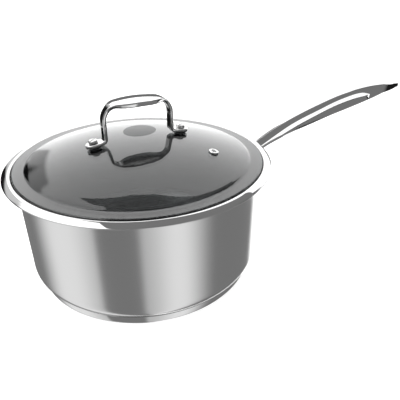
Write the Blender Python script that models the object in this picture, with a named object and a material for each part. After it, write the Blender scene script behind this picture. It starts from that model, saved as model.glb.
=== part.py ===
"""Saucepan with a glass lid.

A drawn steel pan with an encapsulated base and a pouring rim all round, a hollow cast handle, and a
tempered-glass lid that carries a bent steel loop and a steam vent.

Frame: the origin is the centre of the base's underside, +Z is up, and +X runs along the long handle.
Everything is in metres.
"""
import math

import bmesh
import bpy
from mathutils import Matrix, Vector

MM = 0.001
GAP = 0.3 * MM  # clearance kept between pieces that touch

# Pan shell
WALL_OUTER_R = 101.0 * MM
SHEET = 1.0 * MM
FLOOR_UNDERSIDE_Z = 7.5 * MM
FLOOR_CORNER_R = 9.5 * MM
SEAT_Z = 95.6 * MM
SEAT_OUTER_R = 103.9 * MM
RIM_CREST_Z = 99.5 * MM
RIM_ROLL_R = 11.6 * MM
RIM_ROLL_END = math.radians(32)  # how steeply the rim falls at its outer edge

# Base
CAPSULE_R = 95.6 * MM
CAPSULE_H = 7.4 * MM
CAPSULE_SHEET = 0.8 * MM
CAPSULE_EDGE_R = 2.3 * MM
CAPSULE_LIP_R = 0.35 * MM

# Lid glass
GLASS_R = 103.5 * MM
GLASS_T = 4.0 * MM
GLASS_TOP_Z = 117.0 * MM
GLASS_EDGE_R = 1.2 * MM
DOME_R = 280.0 * MM
DOME_END_R = 90.0 * MM
SHOULDER_R = 12.0 * MM
SHOULDER_SLOPE = math.radians(32)
HOLLOW_R = 5.0 * MM
FLANGE_SLOPE = math.radians(2)

# Steam vent
VENT_R = 63.8 * MM
VENT_AZIMUTH = math.radians(-43.5)
VENT_BORE_R = 1.9 * MM
VENT_TUBE_R = 2.7 * MM
VENT_HEAD_R = 4.2 * MM

# Lid loop
LOOP_T = 3.0 * MM
GRIP_T = 3.8 * MM
LOOP_TOP_Z = 150.8 * MM
LOOP_ARCH = 3.4 * MM
GRIP_CURL = 1.6 * MM  # how far the grip's edges turn down
LEG_X = 28.9 * MM
LEG_WIDTH = 8.6 * MM
GRIP_WIDTH = 23.0 * MM
GRIP_HALF_LENGTH = 26.0 * MM
LOOP_CORNER_R = 11.0 * MM
FOOT_BEND_R = 3.2 * MM
FOOT_WIDTH = 11.0 * MM
FOOT_END = 6.6 * MM  # from the screw's axis to the foot's end

# Lid fasteners, stacked along the glass's normal
SCREW_R = 38.0 * MM  # distance of each screw from the pan's axis
SHANK_R = 2.0 * MM
SCREW_HOLE_R = 2.3 * MM
SCREW_HEAD_R = 3.7 * MM
SCREW_HEAD_H = 2.5 * MM
SCREW_SLOT = 1.0 * MM
PAD_R = 5.0 * MM
PAD_T = 0.8 * MM
SEAL_R = 5.2 * MM
SEAL_T = 1.2 * MM
WASHER_R = 5.6 * MM
WASHER_T = 0.8 * MM
NUT_R = 4.0 * MM
NUT_H = 5.6 * MM

# Long handle: distance out from the pan's axis, height of the top line, height of the bottom line, width
HANDLE_STATIONS = [
    (103.2, 86.5, 71.5, 13.0),
    (112.0, 90.6, 74.6, 11.0),
    (122.0, 95.4, 79.0, 10.4),
    (135.0, 101.3, 84.0, 10.6),
    (150.0, 107.8, 88.6, 12.2),
    (168.0, 114.8, 93.6, 15.2),
    (190.0, 122.2, 98.6, 19.2),
    (212.0, 128.5, 103.6, 22.8),
    (234.0, 132.6, 107.8, 26.0),
    (256.0, 134.5, 112.0, 27.8),
    (276.0, 134.2, 116.0, 27.8),
    (291.0, 132.2, 119.5, 25.4),
    (303.0, 129.6, 122.0, 19.6),
    (312.0, 127.4, 123.6, 11.6),
    (316.8, 126.2, 124.4, 4.0),
]
# Handle's sides: distance out, then where the straight side and the cove end, as shares of the depth
HANDLE_SIDES = [
    (103.2, 0.50, 0.88),
    (130.0, 0.50, 0.88),
    (160.0, 0.32, 0.82),
    (190.0, 0.26, 0.73),
    (220.0, 0.20, 0.69),
    (246.0, 0.22, 0.68),
    (264.0, 0.48, 0.66),
    (282.0, 0.50, 0.66),
    (316.8, 0.50, 0.70),
]
HANDLE_RINGS = 40
HANDLE_CROWN = 0.11  # rise of the top face over its edges, as a share of the width
HANDLE_KEEL = 0.56  # width of the keel under the coves, as a share of the width
HANDLE_WALL = 2.0 * MM
HANDLE_HOLLOW_END = 272.0 * MM
SLOT_X = 298.0 * MM
SLOT_LENGTH = 14.0 * MM
SLOT_WIDTH = 8.0 * MM

# Saddle that joins the handle to the wall
SADDLE_SHEET = 1.5 * MM
SADDLE_HALF_ANGLE = math.radians(8.5)
SADDLE_Z = (67.0 * MM, 90.0 * MM)
SADDLE_CORNER = 5.0 * MM

ROUND_STEPS = 60
SMALL_STEPS = 16
ARC_SAG = 0.08 * MM  # how far a chord of an arc may lie inside the arc


# Outlines -----------------------------------------------------------------------------------------


def arc(centre, radius, start, end, step=None):
    """Points on an arc from one angle to another, both ends included."""
    if step is None:
        step = min(2 * math.acos(1 - min(ARC_SAG / radius, 1.0)), math.radians(45))
    count = max(1, math.ceil(abs(end - start) / step - 0.01))
    angles = [start + (end - start) * k / count for k in range(count + 1)]
    return [(centre[0] + radius * math.cos(a), centre[1] + radius * math.sin(a)) for a in angles]


def rounded_path(corners, radii):
    """An open path through corners, with each inner corner rounded to its radius."""
    points = [corners[0]]
    for before, corner, after, radius in zip(corners, corners[1:], corners[2:], radii):
        a = (Vector(before) - Vector(corner)).normalized()
        b = (Vector(after) - Vector(corner)).normalized()
        half = a.angle(b) / 2
        centre = Vector(corner) + (a + b).normalized() * radius / math.sin(half)
        start = Vector(corner) + a * radius / math.tan(half) - centre
        end = Vector(corner) + b * radius / math.tan(half) - centre
        first = math.atan2(start.y, start.x)
        turn = math.remainder(math.atan2(end.y, end.x) - first, math.tau)
        points += arc(centre, radius, first, first + turn)
    return points + [corners[-1]]


def offset(path, distance):
    """The path moved sideways, to the left of its direction."""
    moved = []
    for k, point in enumerate(path):
        ahead = Vector(path[min(k + 1, len(path) - 1)]) - Vector(point)
        behind = Vector(point) - Vector(path[max(k - 1, 0)])
        ways = [way.normalized() for way in (ahead, behind) if way.length > 0]
        along = sum(ways, Vector((0, 0))).normalized()
        moved.append((point[0] - along.y * distance, point[1] + along.x * distance))
    return moved


def sampled(stations, at, column):
    """A smooth value between stations, by a cubic through the four nearest."""
    places = [row[0] * MM for row in stations]
    k = min(max(sum(place <= at for place in places) - 1, 0), len(places) - 2)
    near = [stations[min(max(j, 0), len(stations) - 1)] for j in (k - 1, k, k + 1, k + 2)]
    x0, x1, x2, x3 = (row[0] for row in near)
    y0, y1, y2, y3 = (row[column] for row in near)
    span = x2 - x1
    slope_1 = (y2 - y0) / (x2 - x0) * span
    slope_2 = (y3 - y1) / (x3 - x1) * span
    t = min(max((at / MM - x1) / span, 0.0), 1.0)
    value = (
        y1 * (2 * t**3 - 3 * t**2 + 1)
        + slope_1 * (t**3 - 2 * t**2 + t)
        + y2 * (3 * t**2 - 2 * t**3)
        + slope_2 * (t**3 - t**2)
    )
    return value * MM


# Meshes and objects -------------------------------------------------------------------------------


def metal(name, colour, roughness, metallic=1.0, alpha=1.0):
    """A plain Principled material."""
    material = bpy.data.materials.new(name)
    material.use_nodes = True
    shader = material.node_tree.nodes["Principled BSDF"]
    shader.inputs["Base Color"].default_value = (*colour, 1.0)
    shader.inputs["Roughness"].default_value = roughness
    shader.inputs["Metallic"].default_value = metallic
    shader.inputs["Alpha"].default_value = alpha
    return material


def made(name, bm, material, smooth_angle=math.radians(35)):
    """Turn a bmesh into a named object with its material."""
    bmesh.ops.recalc_face_normals(bm, faces=bm.faces)
    mesh = bpy.data.meshes.new(name)
    bm.to_mesh(mesh)
    bm.free()
    mesh.materials.append(material)
    mesh.shade_smooth()
    mesh.set_sharp_from_angle(angle=smooth_angle)
    item = bpy.data.objects.new(name, mesh)
    bpy.context.collection.objects.link(item)
    return item


def turned(name, outline, material, steps=ROUND_STEPS, closed=True):
    """A piece of revolution about Z. The outline runs down its outer side, as (radius, height)."""
    mesh = bpy.data.meshes.new(name)
    pairs = [(k, k + 1) for k in range(len(outline) - 1)]
    if closed:
        pairs.append((len(outline) - 1, 0))
    mesh.from_pydata([(r, 0.0, z) for r, z in outline], pairs, [])
    mesh.materials.append(material)
    item = bpy.data.objects.new(name, mesh)
    bpy.context.collection.objects.link(item)
    screw = item.modifiers.new("turn", "SCREW")
    screw.steps = screw.render_steps = steps
    screw.use_merge_vertices = True
    screw.merge_threshold = 0.000001
    screw.use_smooth_shade = True
    return item


def prism(name, outline, bottom, top, material):
    """An upright prism on an outline in X and Y."""
    bm = bmesh.new()
    base = bm.faces.new([bm.verts.new((x, y, bottom)) for x, y in outline])
    raised = bmesh.ops.extrude_face_region(bm, geom=[base])["geom"]
    lifted = [v for v in raised if isinstance(v, bmesh.types.BMVert)]
    bmesh.ops.translate(bm, verts=lifted, vec=(0, 0, top - bottom))
    return made(name, bm, material)


def lofted(name, rings, material, hollow=()):
    """A skin over rings of points. With hollow rings, the first ring is an open end of the shell."""
    bm = bmesh.new()
    skins = [[[bm.verts.new(p) for p in ring] for ring in group] for group in (rings, hollow) if group]
    for skin in skins:
        for one, two in zip(skin, skin[1:]):
            bridge(bm, one, two)
        bm.faces.new(skin[-1])
    if hollow:
        edge_loops = []
        for skin in skins:
            ring = skin[0]
            edge_loops += [bm.edges.get((ring[k - 1], ring[k])) for k in range(len(ring))]
        bmesh.ops.triangle_fill(bm, use_beauty=True, edges=edge_loops, normal=(-1, 0, 0))
    else:
        bm.faces.new(skins[0][0])
    return made(name, bm, material)


def bridge(bm, one, two):
    """Quads between two rings with the same number of points."""
    for k in range(len(one)):
        bm.faces.new((one[k - 1], one[k], two[k], two[k - 1]))


def cut(item, cutter):
    """Take the cutter's shape out of the item, and keep the cutter as a hidden guide."""
    cutter.hide_render = True
    cutter.display_type = "WIRE"
    boolean = item.modifiers.new("cut", "BOOLEAN")
    boolean.operation = "DIFFERENCE"
    boolean.solver = "EXACT"
    boolean.object = cutter


# The pan ------------------------------------------------------------------------------------------


def pan_body(material):
    """The drawn shell: floor, wall, the step the lid sits in, and the rolled pouring rim."""
    half = SHEET / 2
    floor = FLOOR_UNDERSIDE_Z + half
    wall = WALL_OUTER_R - half
    seat = SEAT_Z - half
    step = SEAT_OUTER_R + half
    crest = RIM_CREST_Z - half
    bends = [FLOOR_CORNER_R, 2.0 * MM, 1.0 * MM, 0.9 * MM]
    corners = [(0, floor), (wall, floor), (wall, seat), (step, seat), (step, crest)]
    path = rounded_path(corners + [(step + 1.0 * MM, crest)], bends)
    roll_from = math.radians(85)
    roll_to = math.pi / 2 - RIM_ROLL_END
    end = path[-1]
    centre = (end[0] - RIM_ROLL_R * math.cos(roll_from), end[1] - RIM_ROLL_R * math.sin(roll_from))
    path += arc(centre, RIM_ROLL_R, roll_from, roll_to)[1:]
    inner = offset(path, half)
    outer = offset(path, -half)
    inner[0] = (0.0, inner[0][1])
    outer[0] = (0.0, outer[0][1])
    lip = Vector(path[-1])
    across = Vector(inner[-1]) - lip
    rounding = [lip + across * math.cos(a) + Vector((across.y, -across.x)) * math.sin(a)
                for a in (math.radians(d) for d in (45, 90, 135))]
    outline = inner + [tuple(p) for p in rounding] + outer[::-1]
    return turned("pan_body", outline, material, closed=False)


def base_core(material):
    """The heat-spreading disc between the shell and the capsule."""
    radius = CAPSULE_R - CAPSULE_SHEET - GAP
    top = FLOOR_UNDERSIDE_Z - GAP
    bottom = CAPSULE_SHEET + GAP
    edge = CAPSULE_EDGE_R - CAPSULE_SHEET
    outline = [(0, top), (radius, top)]
    outline += arc((radius - edge, bottom + edge), edge, 0, -math.pi / 2) + [(0, bottom)]
    return turned("base_core", outline, material, closed=False)


def base_capsule(material):
    """The pressed cup round the disc, with a rolled upper lip."""
    inner_r = CAPSULE_R - CAPSULE_SHEET
    bend = CAPSULE_EDGE_R
    inside = bend - CAPSULE_SHEET
    centre = (CAPSULE_R - bend, bend)
    lip_z = CAPSULE_H - CAPSULE_LIP_R
    outline = arc((inner_r + CAPSULE_LIP_R, lip_z), CAPSULE_LIP_R, math.pi, math.pi / 2)
    outline += arc((CAPSULE_R - CAPSULE_LIP_R, lip_z), CAPSULE_LIP_R, math.pi / 2, 0)
    outline += arc(centre, bend, 0, -math.pi / 2) + [(0, 0), (0, CAPSULE_SHEET)]
    outline += arc(centre, inside, -math.pi / 2, 0)
    # The spin needs an open outline that starts and ends on the axis.
    start = outline.index((0, CAPSULE_SHEET))
    ordered = outline[start:] + outline[:start]
    return turned("base_capsule", ordered, material, closed=False)


def handle_saddle(material):
    """A plate with round corners that follows the wall."""
    inner = WALL_OUTER_R + GAP
    outer = inner + SADDLE_SHEET
    low, high = SADDLE_Z
    reach = SADDLE_HALF_ANGLE * outer
    columns = 16
    bm = bmesh.new()
    rings = []
    for k in range(columns + 1):
        along = -reach + 2 * reach * k / columns
        into_corner = max(0.0, abs(along) - (reach - SADDLE_CORNER))
        trim = SADDLE_CORNER - math.sqrt(max(SADDLE_CORNER**2 - into_corner**2, (0.2 * MM) ** 2))
        angle = along / outer
        way = Vector((math.cos(angle), math.sin(angle), 0))
        corners = [(inner, low + trim), (outer, low + trim), (outer, high - trim), (inner, high - trim)]
        rings.append([bm.verts.new(way * r + Vector((0, 0, z))) for r, z in corners])
    for one, two in zip(rings, rings[1:]):
        bridge(bm, one, two)
    bm.faces.new(rings[0])
    bm.faces.new(rings[-1])
    return made("handle_saddle", bm, material)


def handle_section(x):
    """One upright slice of the handle: crowned top, straight sides, a cove, and a narrower keel."""
    top = sampled(HANDLE_STATIONS, x, 1)
    bottom = sampled(HANDLE_STATIONS, x, 2)
    half = sampled(HANDLE_STATIONS, x, 3) / 2
    depth = top - bottom
    crown = 2 * half * HANDLE_CROWN * min(1.0, depth / (14 * MM))
    edge = min(1.1 * MM, depth * 0.2)
    cove = min(1.0, max(0.0, (depth - 5 * MM) / (10 * MM)))
    keel = half * (1 - (1 - HANDLE_KEEL) * cove)
    side_end = top - crown - sampled(HANDLE_SIDES, x, 1) / MM * depth
    cove_end = top - sampled(HANDLE_SIDES, x, 2) / MM * depth
    keel_edge = min(1.4 * MM, depth * 0.2)
    right = [(half * f, top - crown * f * f) for f in (0.0, 0.3, 0.6)]
    right += arc((half - edge, top - crown - edge), edge, math.radians(75), 0, math.radians(25))
    right += [(half - 0.2 * MM * cove, side_end)]
    for k in range(1, 6):
        turn = math.pi / 2 * k / 5
        out = half - (half - keel) * math.sin(turn)
        down = k / 5 + (1 - math.cos(turn) - k / 5) * cove
        right.append((out, side_end - (side_end - cove_end) * down))
    right += arc((keel - keel_edge, bottom + keel_edge), keel_edge, 0, -math.pi / 2, math.radians(30))
    left = [(-y, z) for y, z in right[1:]][::-1]
    return [(x, y, z) for y, z in right + [(0.0, bottom)] + left]


def handle_hollow_section(x):
    """One slice of the space inside the handle."""
    top = sampled(HANDLE_STATIONS, x, 1) - HANDLE_WALL
    bottom = sampled(HANDLE_STATIONS, x, 2) + HANDLE_WALL
    half = sampled(HANDLE_STATIONS, x, 3) / 2 * HANDLE_KEEL - HANDLE_WALL * 0.6
    middle = (top + bottom) / 2
    tall = (top - bottom) / 2
    turns = [math.tau * k / 12 for k in range(12)]
    return [(x, half * math.sin(a), middle + tall * math.cos(a)) for a in turns]


def long_handle(material):
    """The hollow casting, open where it meets the saddle, with a slot to hang it by."""
    start = HANDLE_STATIONS[0][0] * MM
    end = HANDLE_STATIONS[-1][0] * MM
    shares = [math.sin(math.pi / 2 * k / HANDLE_RINGS) ** 0.9 for k in range(HANDLE_RINGS + 1)]
    rings = [handle_section(start + (end - start) * share) for share in shares]
    inner_rings = 16
    spread = [start + (HANDLE_HOLLOW_END - start) * k / inner_rings for k in range(inner_rings + 1)]
    hollow = [handle_hollow_section(x) for x in spread]
    item = lofted("long_handle", rings, material, hollow)
    straight = (SLOT_LENGTH - SLOT_WIDTH) / 2
    step = math.radians(20)  # an odd number of sides, so that no corner lies on the handle's centre line
    right = arc((SLOT_X + straight, 0), SLOT_WIDTH / 2, -math.pi / 2, math.pi / 2, step)
    left = arc((SLOT_X - straight, 0), SLOT_WIDTH / 2, math.pi / 2, 3 * math.pi / 2, step)
    cut(item, prism("slot_cutter", right + left, 100 * MM, 150 * MM, material))
    return item


# The lid ------------------------------------------------------------------------------------------


def glass_top_line():
    """The upper side of the glass from its centre out to its edge."""
    centre = (0.0, GLASS_TOP_Z - DOME_R)
    dome_end = math.asin(DOME_END_R / DOME_R)
    line = arc(centre, DOME_R, math.pi / 2, math.pi / 2 - dome_end, math.radians(2.7))
    x, z = line[-1]
    bend = (x - SHOULDER_R * math.sin(dome_end), z - SHOULDER_R * math.cos(dome_end))
    line += arc(bend, SHOULDER_R, math.pi / 2 - dome_end, math.pi / 2 - SHOULDER_SLOPE, math.radians(7))[1:]
    x, z = line[-1]
    bend = (x + HOLLOW_R * math.sin(SHOULDER_SLOPE), z + HOLLOW_R * math.cos(SHOULDER_SLOPE))
    down = -math.pi / 2
    line += arc(bend, HOLLOW_R, down - SHOULDER_SLOPE, down - FLANGE_SLOPE, math.radians(10))[1:]
    x, z = line[-1]
    edge = GLASS_R - GLASS_EDGE_R
    return line + [(edge, z - (edge - x) * math.tan(FLANGE_SLOPE))]


def lid_glass(material):
    """The tempered dome with its ground edge and its holes."""
    upper = glass_top_line()
    lower = offset(upper, -GLASS_T)
    lower[0] = (0.0, lower[0][1])
    lower[-1] = (upper[-1][0], upper[-1][1] - GLASS_T)
    corner = GLASS_EDGE_R
    x, z = upper[-1]
    edge = arc((x, z - corner), corner, math.pi / 2, 0, math.radians(45))[1:]
    edge += arc((x, z - GLASS_T + corner), corner, 0, -math.pi / 2, math.radians(45))[:-1]
    item = turned("lid_glass", upper + edge + lower[::-1], material, closed=False)
    places = [on_glass(SCREW_R, 0), on_glass(SCREW_R, math.pi), on_glass(VENT_R, VENT_AZIMUTH)]
    radii = [SHANK_R + GAP * 1.6, SHANK_R + GAP * 1.6, VENT_TUBE_R + GAP]
    for k, (place, radius) in enumerate(zip(places, radii)):
        cut(item, drill(f"glass_cutter_{k}", place, radius, material))
    return item


def on_glass(radius, azimuth):
    """The place on the upper side of the glass at a distance from the axis, with Z along its normal."""
    lean = math.asin(radius / DOME_R)
    height = GLASS_TOP_Z - DOME_R * (1 - math.cos(lean))
    swing = Matrix.Rotation(azimuth, 4, "Z")
    return swing @ Matrix.Translation((radius, 0, height)) @ Matrix.Rotation(lean, 4, "Y")


def drill(name, place, radius, material):
    """A hidden cutting cylinder through the glass or a foot."""
    reach = 12 * MM
    outline = [(0, reach), (radius, reach), (radius, -reach), (0, -reach)]
    cutter = turned(name, outline, material, SMALL_STEPS, closed=False)
    cutter.matrix_world = place
    return cutter


def ring(name, place, outer, inner, top, thickness, material, steps=SMALL_STEPS):
    """A flat washer with softened rims, measured along the glass's normal from its upper side."""
    soft = min(0.25 * MM, thickness / 4)
    bottom = top - thickness
    outline = [(inner, top), (outer - soft, top), (outer, top - soft)]
    outline += [(outer, bottom + soft), (outer - soft, bottom), (inner, bottom)]
    item = turned(name, outline, material, steps)
    item.matrix_world = place
    return item


def vent_eyelet(place, material):
    """The rolled steam grommet: a domed head above the glass and a spread tail below."""
    head_top = GAP + 1.3 * MM
    tail_r = VENT_TUBE_R + 1.1 * MM
    tail_top = -GLASS_T - GAP - WASHER_T - GAP
    outline = [(VENT_BORE_R, head_top - 0.5 * MM), (VENT_BORE_R + 0.4 * MM, head_top)]
    outline += arc((VENT_HEAD_R - 0.9 * MM, head_top - 0.9 * MM), 0.9 * MM, math.pi / 2, 0)
    outline += [(VENT_HEAD_R, GAP), (VENT_TUBE_R, GAP), (VENT_TUBE_R, tail_top), (tail_r, tail_top)]
    outline += [(tail_r, tail_top - 0.5 * MM), (VENT_BORE_R, tail_top - 0.9 * MM)]
    item = turned("vent_eyelet", outline, material, 20)
    item.matrix_world = place
    return item


def lid_screw(name, place, material):
    """A slotted screw with a low round head."""
    seat = GAP + PAD_T + GAP + LOOP_T + GAP
    head_top = seat + SCREW_HEAD_H
    tip = -GLASS_T - SEAL_T - WASHER_T - 3 * GAP - NUT_H + 1.6 * MM
    soft = 1.2 * MM
    outline = [(0, head_top)]
    outline += arc((SCREW_HEAD_R - soft, head_top - soft), soft, math.pi / 2, 0, math.radians(30))
    outline += [(SCREW_HEAD_R, seat), (SHANK_R, seat)]
    outline += [(SHANK_R, tip + 0.4 * MM), (SHANK_R - 0.4 * MM, tip), (0, tip)]
    item = turned(name, outline, material, SMALL_STEPS, closed=False)
    item.matrix_world = place
    half_x, half_y = 5 * MM, SCREW_SLOT / 2
    slot = [(-half_x, -half_y), (half_x, -half_y), (half_x, half_y), (-half_x, half_y)]
    blade = prism(name + "_slot_cutter", slot, head_top - 1.1 * MM, head_top + 2 * MM, material)
    blade.matrix_world = place @ Matrix.Rotation(math.radians(35), 4, "Z")
    cut(item, blade)
    return item


def cap_nut(name, place, material):
    """A domed nut, closed below, with a blind bore for the screw's end."""
    top = -GLASS_T - SEAL_T - WASHER_T - 3 * GAP
    bottom = top - NUT_H
    bore = SCREW_HOLE_R
    outline = [(0, bottom + 1.2 * MM), (bore, bottom + 1.2 * MM), (bore, top), (NUT_R, top)]
    outline += [(NUT_R, bottom + 2.6 * MM)]
    outline += arc((NUT_R - 2.6 * MM, bottom + 2.6 * MM), 2.6 * MM, 0, -math.pi / 2, math.radians(20))[1:]
    outline += [(0, bottom)]
    item = turned(name, outline, material, SMALL_STEPS, closed=False)
    item.matrix_world = place
    return item


def loop_line():
    """The right half of the loop's centre line in X and Z, from the top's middle to the foot's end."""
    lean = math.asin(SCREW_R / DOME_R)
    place = on_glass(SCREW_R, 0)
    middle = GAP + PAD_T + GAP + LOOP_T / 2
    foot = place @ Vector((0, 0, middle))
    outward = Vector((math.cos(lean), -math.sin(lean)))
    screw = Vector((foot.x, foot.z))
    end = screw + outward * FOOT_END
    knee = screw + outward * ((LEG_X - screw.x) / outward.x)
    top = LOOP_TOP_Z - LOOP_T / 2
    shoulder = (LEG_X, top - LOOP_ARCH)
    corners = [(0, top - LOOP_ARCH), shoulder, tuple(knee), tuple(end)]
    bent = rounded_path(corners, [LOOP_CORNER_R, FOOT_BEND_R])
    return denser(bent, 2.2 * MM)


def denser(path, spacing):
    """The same path with points added along its long straight stretches."""
    points = [path[0]]
    for one, two in zip(path, path[1:]):
        count = max(1, round((Vector(two) - Vector(one)).length / spacing))
        points += [tuple(Vector(one).lerp(Vector(two), k / count)) for k in range(1, count + 1)]
    return points


def arched(x, z):
    """Lift a point of the loop's line by the top's arch."""
    share = max(0.0, 1 - (x / LEG_X) ** 2)
    height = min(1.0, max(0.0, (z - (LOOP_TOP_Z - 20 * MM)) / (15 * MM)))
    return z + LOOP_ARCH * share * height


def loop_width(x, z, from_end):
    """Width of the strap: wide over the grip, narrow down the legs, round at the end of the foot."""
    if z > LOOP_TOP_Z - 12 * MM:
        share = min(1.0, abs(x) / GRIP_HALF_LENGTH)
        return LEG_WIDTH + (GRIP_WIDTH - LEG_WIDTH) * (1 - share**3) ** 1.5
    spread = min(1.0, max(0.0, (x - LEG_X) / (5 * MM)))
    width = LEG_WIDTH + (FOOT_WIDTH - LEG_WIDTH) * spread
    if from_end < width / 2:
        width = 2 * math.sqrt(max((width / 2) ** 2 - (width / 2 - from_end) ** 2, (0.9 * MM) ** 2))
    return width


def strap_section(point, across, width):
    """A rounded oblong square to the strap's line, thicker and curled down where it is wide."""
    share = max(0.0, (width - FOOT_WIDTH) / (GRIP_WIDTH - FOOT_WIDTH))
    top = LOOP_T / 2
    bottom = top - LOOP_T - (GRIP_T - LOOP_T) * share
    soft = min(1.0 * MM, width * 0.3)
    side = width / 2 - soft
    spread = [side * f for f in (0.66, 0.33, 0.0, -0.33, -0.66)]
    upper = arc((side, top - soft), soft, 0, math.pi / 2, math.radians(45)) + [(y, top) for y in spread]
    upper += arc((-side, top - soft), soft, math.pi / 2, math.pi, math.radians(45))
    lower = arc((-side, bottom + soft), soft, math.pi, 3 * math.pi / 2, math.radians(45))
    lower += [(-y, bottom) for y in spread]
    lower += arc((side, bottom + soft), soft, -math.pi / 2, 0, math.radians(45))
    section = []
    for y, t in upper + lower:
        t -= GRIP_CURL * share * (2 * y / width) ** 2
        section.append((point.x + across.x * t, y, point.y + across.y * t))
    return section


def lid_loop(places, material):
    """The bent strap: foot, leg, grip, leg, foot."""
    half = loop_line()
    right = [(x, arched(x, z)) for x, z in half]
    lengths = [0.0]
    for one, two in zip(right, right[1:]):
        lengths.append(lengths[-1] + (Vector(two) - Vector(one)).length)
    widths = [loop_width(x, z, lengths[-1] - run) for (x, z), run in zip(right, lengths)]
    line = [(-x, z) for x, z in right[:0:-1]] + right
    spans = widths[:0:-1] + widths
    rings = []
    for k, point in enumerate(line):
        along = Vector(line[min(k + 1, len(line) - 1)]) - Vector(line[max(k - 1, 0)])
        along.normalize()
        across = Vector((-along.y, along.x))
        rings.append(strap_section(Vector(point), across, spans[k]))
    item = lofted("lid_loop", rings, material)
    for k, place in enumerate(places):
        cut(item, drill(f"foot_cutter_{k}", place, SCREW_HOLE_R, material))
    return item


def main():
    """Clear the scene, then make every piece."""
    for item in list(bpy.data.objects):
        bpy.data.objects.remove(item, do_unlink=True)

    satin = metal("satin steel", (0.62, 0.62, 0.63), 0.28)
    polished = metal("polished steel", (0.78, 0.78, 0.79), 0.08)
    fastener = metal("bright fastener steel", (0.72, 0.72, 0.74), 0.15)
    aluminium = metal("aluminium", (0.80, 0.80, 0.81), 0.45)
    glass = metal("clear glass", (0.82, 0.85, 0.86), 0.02, metallic=0.0, alpha=0.35)
    silicone = metal("black silicone", (0.03, 0.03, 0.03), 0.6, metallic=0.0)

    pan_body(satin)
    base_core(aluminium)
    base_capsule(polished)
    handle_saddle(polished)
    long_handle(polished)

    lid_glass(glass)
    vent = on_glass(VENT_R, VENT_AZIMUTH)
    under_glass = -GLASS_T - GAP
    vent_eyelet(vent, fastener)
    ring("vent_washer", vent, VENT_HEAD_R + 0.6 * MM, VENT_TUBE_R + GAP, under_glass, WASHER_T, fastener, 20)

    sides = {"right": on_glass(SCREW_R, 0), "left": on_glass(SCREW_R, math.pi)}
    lid_loop(sides.values(), polished)
    for side, place in sides.items():
        lid_screw("lid_screw_" + side, place, fastener)
        ring("foot_pad_" + side, place, PAD_R, SCREW_HOLE_R, GAP + PAD_T, PAD_T, silicone)
        ring("inner_seal_" + side, place, SEAL_R, SCREW_HOLE_R, under_glass, SEAL_T, silicone)
        under_seal = under_glass - SEAL_T - GAP
        ring("inner_washer_" + side, place, WASHER_R, SCREW_HOLE_R, under_seal, WASHER_T, fastener)
        cap_nut("cap_nut_" + side, place, fastener)


main()
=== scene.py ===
"""Looks for the saucepan with a glass lid.

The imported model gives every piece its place. The drawn shell, the capsule, the glass, the handle, the
loop and the small round fittings are made again here with fine surfaces, and every piece gets its finish.
Everything is in metres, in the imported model's own frame: +Z up, +X along the long handle.
"""

import math

import bmesh
import bpy
from mathutils import Matrix, Vector


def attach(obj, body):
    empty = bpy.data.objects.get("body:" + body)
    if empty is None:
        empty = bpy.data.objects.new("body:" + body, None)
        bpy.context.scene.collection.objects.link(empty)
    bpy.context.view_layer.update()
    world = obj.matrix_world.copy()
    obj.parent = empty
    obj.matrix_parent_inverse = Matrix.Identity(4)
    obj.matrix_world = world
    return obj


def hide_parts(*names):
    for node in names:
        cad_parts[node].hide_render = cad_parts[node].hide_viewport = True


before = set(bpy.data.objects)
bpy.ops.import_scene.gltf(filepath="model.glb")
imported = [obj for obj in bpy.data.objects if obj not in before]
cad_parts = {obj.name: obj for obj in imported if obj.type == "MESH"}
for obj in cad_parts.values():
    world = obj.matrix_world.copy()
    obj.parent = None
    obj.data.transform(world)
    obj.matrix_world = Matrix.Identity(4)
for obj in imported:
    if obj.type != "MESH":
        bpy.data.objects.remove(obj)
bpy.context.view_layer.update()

MM = 0.001
GAP = 0.3 * MM  # clearance kept between pieces that touch

# Pan shell
WALL_OUTER_R = 101.0 * MM
SHEET = 1.0 * MM
FLOOR_UNDERSIDE_Z = 7.5 * MM
FLOOR_CORNER_R = 9.5 * MM
SEAT_Z = 95.6 * MM
SEAT_OUTER_R = 103.9 * MM
RIM_CREST_Z = 99.5 * MM
RIM_ROLL_R = 11.6 * MM
RIM_ROLL_END = math.radians(32)

# Base
CAPSULE_R = 95.6 * MM
CAPSULE_H = 7.4 * MM
CAPSULE_SHEET = 0.8 * MM
CAPSULE_EDGE_R = 2.3 * MM
CAPSULE_LIP_R = 0.35 * MM

# Lid glass
GLASS_R = 103.5 * MM
GLASS_T = 4.0 * MM
GLASS_TOP_Z = 117.0 * MM
GLASS_EDGE_R = 1.2 * MM
DOME_R = 280.0 * MM
DOME_END_R = 90.0 * MM
SHOULDER_R = 12.0 * MM
SHOULDER_SLOPE = math.radians(32)
HOLLOW_R = 5.0 * MM
FLANGE_SLOPE = math.radians(2)

# Steam vent
VENT_R = 63.8 * MM
VENT_AZIMUTH = math.radians(-43.5)
VENT_BORE_R = 1.9 * MM
VENT_TUBE_R = 2.7 * MM
VENT_HEAD_R = 4.2 * MM

# Lid loop
LOOP_T = 3.0 * MM
GRIP_T = 3.8 * MM
LOOP_TOP_Z = 150.8 * MM
LOOP_ARCH = 3.4 * MM
GRIP_CURL = 1.6 * MM
LEG_X = 28.9 * MM
LEG_WIDTH = 8.6 * MM
GRIP_WIDTH = 23.0 * MM
GRIP_HALF_LENGTH = 26.0 * MM
LOOP_CORNER_R = 11.0 * MM
FOOT_BEND_R = 3.2 * MM
FOOT_WIDTH = 11.0 * MM
FOOT_END = 6.6 * MM

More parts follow.
